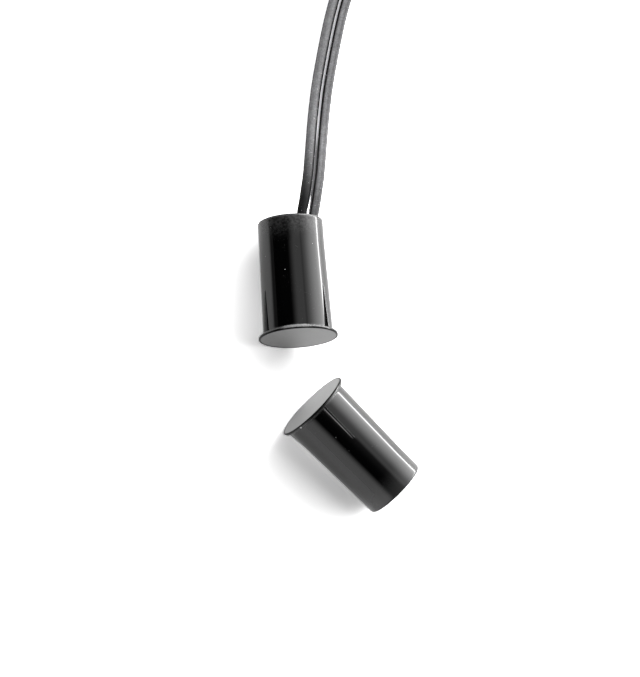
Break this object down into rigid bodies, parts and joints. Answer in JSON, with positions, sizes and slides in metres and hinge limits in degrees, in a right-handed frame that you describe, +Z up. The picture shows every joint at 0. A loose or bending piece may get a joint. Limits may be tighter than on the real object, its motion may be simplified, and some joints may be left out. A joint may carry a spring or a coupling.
{
  "type": "recessed magnetic contact",
  "caption": "Recessed door or window contact lying on its side: a flanged, ribbed barrel with a glass reed switch and a twin lead, and a matching barrel with a rod magnet, both potted.",
  "frame": {"origin": "middle of the two halves' bounding box, at the floor that they lie on", "axes": "+Z up; +Y from the switch half's flange towards its open end and lead; +X to the right of that"},
  "size_m": [0.0371, 0.1103, 0.0108],
  "materials": {
    "black_plastic": "glossy moulded black",
    "glass": "clear green-tinted",
    "reed_alloy": "bright nickel-iron",
    "solder": "bright solder",
    "tinned_copper": "tinned copper strands",
    "wire_insulation": "satin black-grey insulation",
    "potting": "satin black resin",
    "nickel_magnet": "nickel plated",
    "tie_wire": "satin black plastic"
  },
  "bodies": {
    "switch_half": {"switch_housing": "black_plastic", "glass_capsule": "glass", "front_reed_stem": "reed_alloy", "rear_reed_stem": "reed_alloy", "front_solder_joint": "solder", "rear_solder_joint": "solder", "long_leg_insulation": "wire_insulation", "long_leg_core": "tinned_copper", "short_leg_insulation": "wire_insulation", "short_leg_core": "tinned_copper", "switch_potting": "potting", "lead_tube": "wire_insulation", "lead_coil": "wire_insulation", "coil_tie": "tie_wire", "lead_tail": "wire_insulation", "lead_tips": "tinned_copper"},
    "front_reed": {"front_reed_blade": "reed_alloy"},
    "rear_reed": {"rear_reed_blade": "reed_alloy"},
    "magnet_half": {"magnet_housing": "black_plastic", "rod_magnet": "nickel_magnet", "magnet_potting": "potting"}
  },
  "joints": [
    {"name": "front_reed_flex", "type": "hinge", "parent": "switch_half", "child": "front_reed", "pos_m": [-0.00537, 0.00805, 0.00527], "axis": [-1, 0, 0], "range_deg": [0, 0.6], "stiffness_Nm_per_rad": 0.002},
    {"name": "rear_reed_flex", "type": "hinge", "parent": "switch_half", "child": "rear_reed", "pos_m": [-0.00537, 0.01522, 0.00456], "axis": [-1, 0, 0], "range_deg": [0, 0.6], "stiffness_Nm_per_rad": 0.002},
    {"name": "door_travel", "type": "slide", "parent": "switch_half", "child": "magnet_half", "axis": [0, -1, 0], "range_m": [-0.0045, 0.03]}
  ]
}
